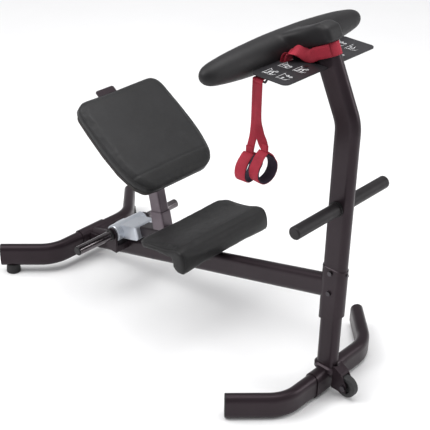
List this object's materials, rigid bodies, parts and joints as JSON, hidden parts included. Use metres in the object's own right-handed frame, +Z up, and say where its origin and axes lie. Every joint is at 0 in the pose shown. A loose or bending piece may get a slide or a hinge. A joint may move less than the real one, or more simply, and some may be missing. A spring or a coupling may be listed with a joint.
{
  "type": "seated stretch trainer",
  "caption": "Floor-standing seated stretching machine: tilting seat and back pad on a sloping spine, leaning column with a moulded cross pad, foot pegs, chart plate and hand straps.",
  "frame": {"origin": "centre of the footprint on the floor, below the middle of the spine tube", "axes": "+X from the seat towards the column, +Y to the side without the hanging straps, +Z up"},
  "size_m": [1.3686, 0.6792, 1.1647],
  "materials": {
    "frame": "satin powder coat",
    "arm_paint": "satin powder coat",
    "bracket_paint": "grey metallic powder coat",
    "plate_paint": "satin powder coat",
    "housing": "silver paint over steel",
    "grip": "polished plate",
    "shaft": "turned",
    "zinc": "zinc plated",
    "bush": "moulded nylon",
    "collar": "moulded nylon",
    "cap": "moulded",
    "pad_rubber": "matt",
    "foam_grip": "ribbed",
    "roll_skin": "moulded skin foam",
    "board": "plywood",
    "cushion": "grained vinyl over foam",
    "placard": "satin sheet",
    "webbing": "woven",
    "lining": "soft sleeve",
    "wheel_hub": "moulded",
    "tyre": "matt"
  },
  "bodies": {
    "frame": {"lower_column": "frame", "upper_column": "frame", "column_sleeve": "frame", "column_foot_collar": "frame", "spine_tube": "frame", "front_base_tube": "frame", "front_base_sleeve": "frame", "rear_base_tube": "frame", "rear_base_saddle": "frame", "pivot_bracket_near": "frame", "pivot_bracket_far": "frame", "wheel_fork": "frame", "placard_bracket": "frame", "roll_support_arm": "frame", "grip_tube_near": "grip", "grip_tube_far": "grip", "pivot_shaft": "shaft", "roll_core_bar": "shaft", "peg_bar": "shaft", "strap_keeper": "shaft", "column_bolts": "zinc", "frame_screws": "zinc", "wheel_axle_bolt": "zinc", "wheel_axle_nut": "zinc", "pivot_collars": "collar", "peg_collars": "collar", "grip_end_caps": "cap", "base_end_caps": "cap", "front_base_pads": "pad_rubber", "rear_feet": "pad_rubber", "tilt_stops": "pad_rubber", "peg_grips": "foam_grip", "roll_pad": "roll_skin", "placard": "placard", "strap_band": "webbing", "strap_leads": "webbing", "strap_tail_1": "webbing", "strap_tail_2": "webbing", "hand_loop_1": "webbing", "hand_loop_2": "webbing", "loop_lining_1": "lining", "loop_lining_2": "lining"},
    "carriage": {"pivot_housing": "housing", "pivot_bushes": "bush", "seat_arm": "arm_paint", "seat_arm_cap": "cap", "seat_wedge_plate": "arm_paint", "seat_board": "board", "seat_cushion": "cushion", "seat_bolts": "zinc", "back_bracket_socket": "bracket_paint", "back_bracket_tube": "bracket_paint", "back_support_plate": "plate_paint", "back_board": "board", "back_cushion": "cushion", "back_bolts": "zinc"},
    "wheel": {"wheel_tyre": "tyre", "wheel_hub": "wheel_hub"}
  },
  "joints": [
    {"name": "seat_tilt", "type": "hinge", "parent": "frame", "child": "carriage", "pos_m": [-0.33268, 0, 0.197], "axis": [0, -1, 0], "range_deg": [0, 16]},
    {"name": "wheel_spin", "type": "hinge", "parent": "frame", "child": "wheel", "pos_m": [0.64832, 0, 0.046], "axis": [0, 1, 0], "continuous": true}
  ]
}
